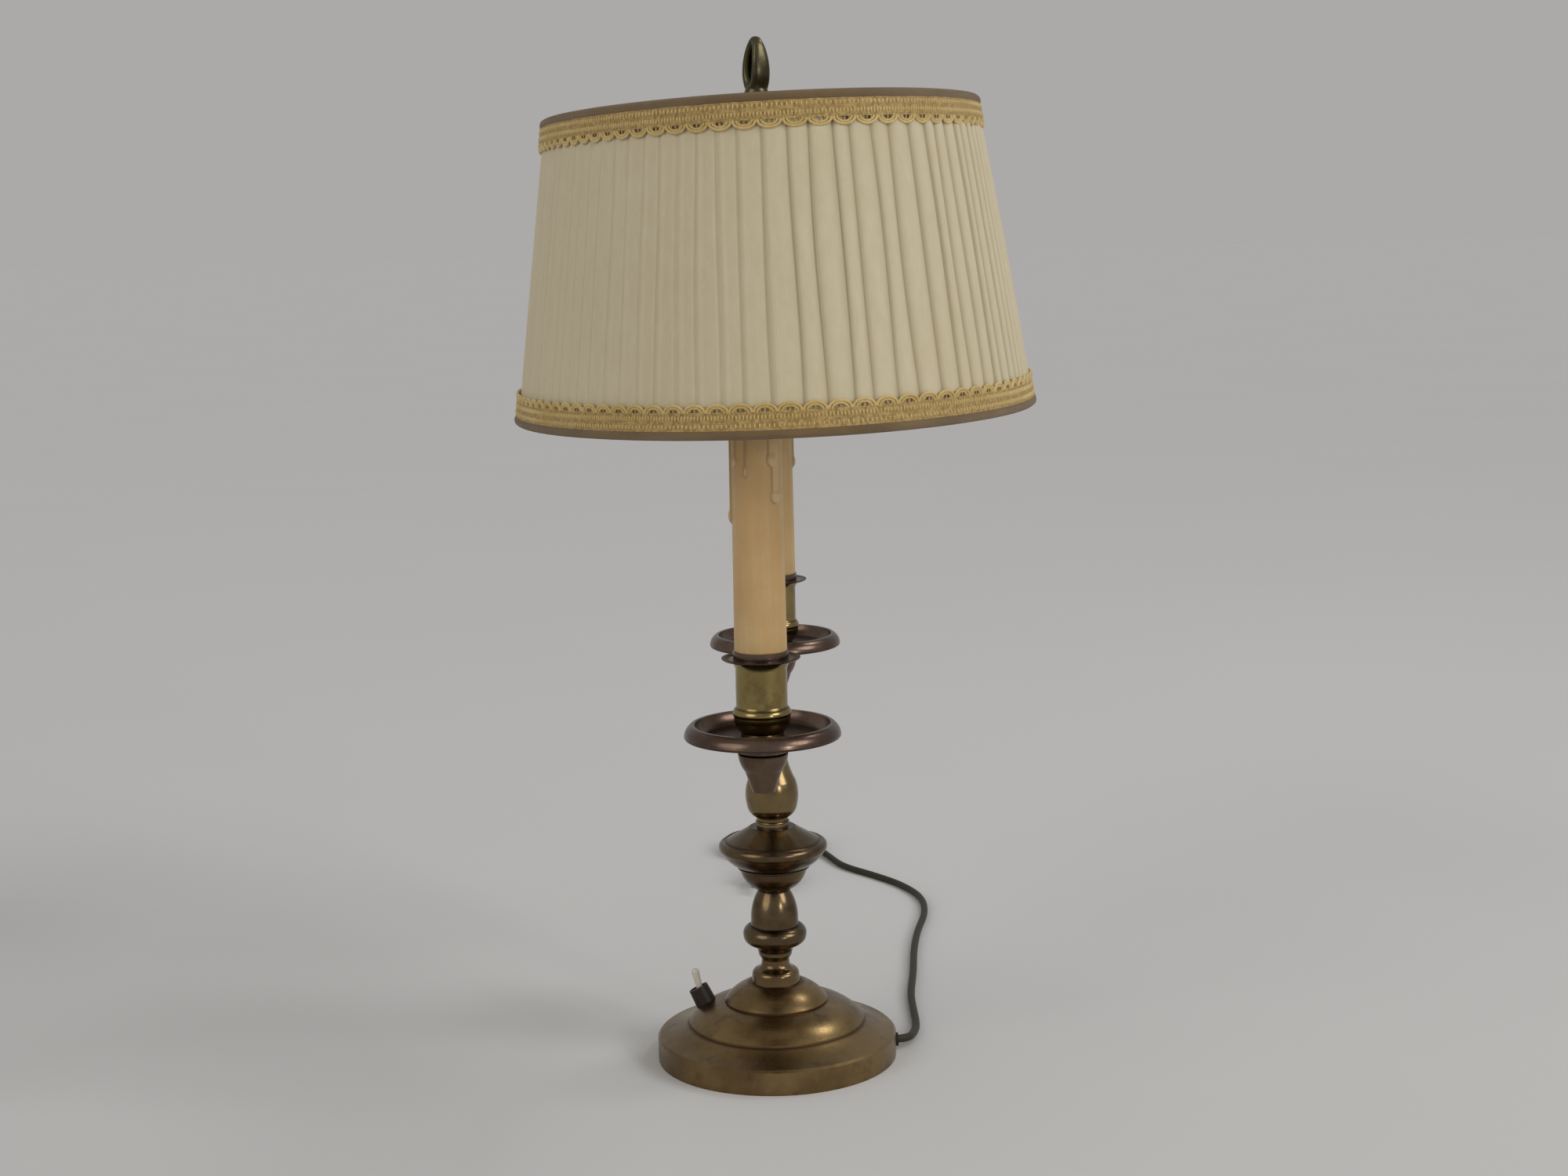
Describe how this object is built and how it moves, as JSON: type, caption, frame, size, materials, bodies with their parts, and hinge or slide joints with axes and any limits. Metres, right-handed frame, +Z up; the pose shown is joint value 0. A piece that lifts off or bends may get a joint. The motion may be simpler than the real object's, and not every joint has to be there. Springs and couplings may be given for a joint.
{
  "type": "candle lamp with shade",
  "caption": "Table lamp with two candle arms on a turned brass stem and round base, a ring finial and an oval pleated shade with braid trim.",
  "frame": {"origin": "on the table, under the middle of the round base", "axes": "+Z up; the two arms lie along Y, the one that the picture shows in front towards -Y"},
  "size_m": [0.2649, 0.6323, 0.527],
  "materials": {
    "aged_brass": "aged, satin",
    "dark_brass": "dark patina, satin",
    "iron": "rough",
    "steel": "satin",
    "felt": "matte",
    "wax_resin": "waxy",
    "dark_plastic": "matte",
    "brown_resin": "half gloss",
    "cream_plastic": "half gloss",
    "bulb_glass": "frosted",
    "shade_cloth": "matte",
    "bias_tape": "matte",
    "gimp_braid": "matte",
    "cord_sheath": "matte",
    "pin_brass": "bright"
  },
  "bodies": {
    "lamp": {"base_shell": "aged_brass", "base_weight": "iron", "base_felt": "felt", "pipe_nuts": "aged_brass", "pipe_washer": "steel", "lamp_pipe": "steel", "stem_foot": "aged_brass", "stem_knob": "aged_brass", "stem_acorn": "aged_brass", "stem_bowl": "aged_brass", "stem_disc": "aged_brass", "stem_waist": "aged_brass", "stem_vase": "aged_brass", "arm_hub": "aged_brass", "hub_cap": "aged_brass", "shade_rod": "aged_brass", "seat_nut": "aged_brass", "switch_body": "brown_resin", "switch_collar": "brown_resin", "cord_collar": "brown_resin", "cord_run": "cord_sheath", "cord_coil": "cord_sheath", "cord_tail": "cord_sheath", "coil_tie": "dark_plastic", "plug_body": "dark_plastic", "plug_pins": "pin_brass", "arm_front": "aged_brass", "arm_back": "aged_brass", "arm_cone_front": "aged_brass", "arm_cone_back": "aged_brass", "drip_pan_front": "dark_brass", "drip_pan_back": "dark_brass", "candle_cup_front": "aged_brass", "candle_cup_back": "aged_brass", "cup_lip_front": "dark_brass", "cup_lip_back": "dark_brass", "arm_nut_front": "aged_brass", "arm_nut_back": "aged_brass", "candle_sleeve_front": "wax_resin", "candle_sleeve_back": "wax_resin", "lampholder_front": "dark_plastic", "lampholder_back": "dark_plastic"},
    "shade": {"shade_fabric": "shade_cloth", "shade_tape_top": "bias_tape", "shade_tape_bottom": "bias_tape", "shade_gimp_top": "gimp_braid", "shade_gimp_bottom": "gimp_braid", "frame_ring_top": "steel", "frame_ring_bottom": "steel", "frame_struts": "steel", "frame_spider": "steel"},
    "finial": {"ring_finial": "aged_brass", "finial_washer": "aged_brass"},
    "bulb_front": {"bulb_glass_front": "bulb_glass", "bulb_cap_front": "steel"},
    "bulb_back": {"bulb_glass_back": "bulb_glass", "bulb_cap_back": "steel"},
    "lever": {"switch_lever": "cream_plastic"}
  },
  "joints": [
    {"name": "shade_turn", "type": "hinge", "parent": "lamp", "child": "shade", "pos_m": [0, 0, 0.4865], "axis": [0, 0, 1], "range_deg": [-42, 22]},
    {"name": "finial_screw", "type": "hinge", "parent": "lamp", "child": "finial", "pos_m": [0, 0, 0.4895], "axis": [0, 0, 1], "continuous": true},
    {"name": "bulb_front_screw", "type": "hinge", "parent": "lamp", "child": "bulb_front", "pos_m": [0, -0.1217, 0.33], "axis": [0, 0, 1], "continuous": true},
    {"name": "bulb_back_screw", "type": "hinge", "parent": "lamp", "child": "bulb_back", "pos_m": [0, 0.1217, 0.33], "axis": [0, 0, 1], "continuous": true},
    {"name": "switch_throw", "type": "hinge", "parent": "lamp", "child": "lever", "pos_m": [-0.04024, 0.00855, 0.03139], "axis": [-0.2079, -0.9781, 0], "range_deg": [0, 26]}
  ]
}
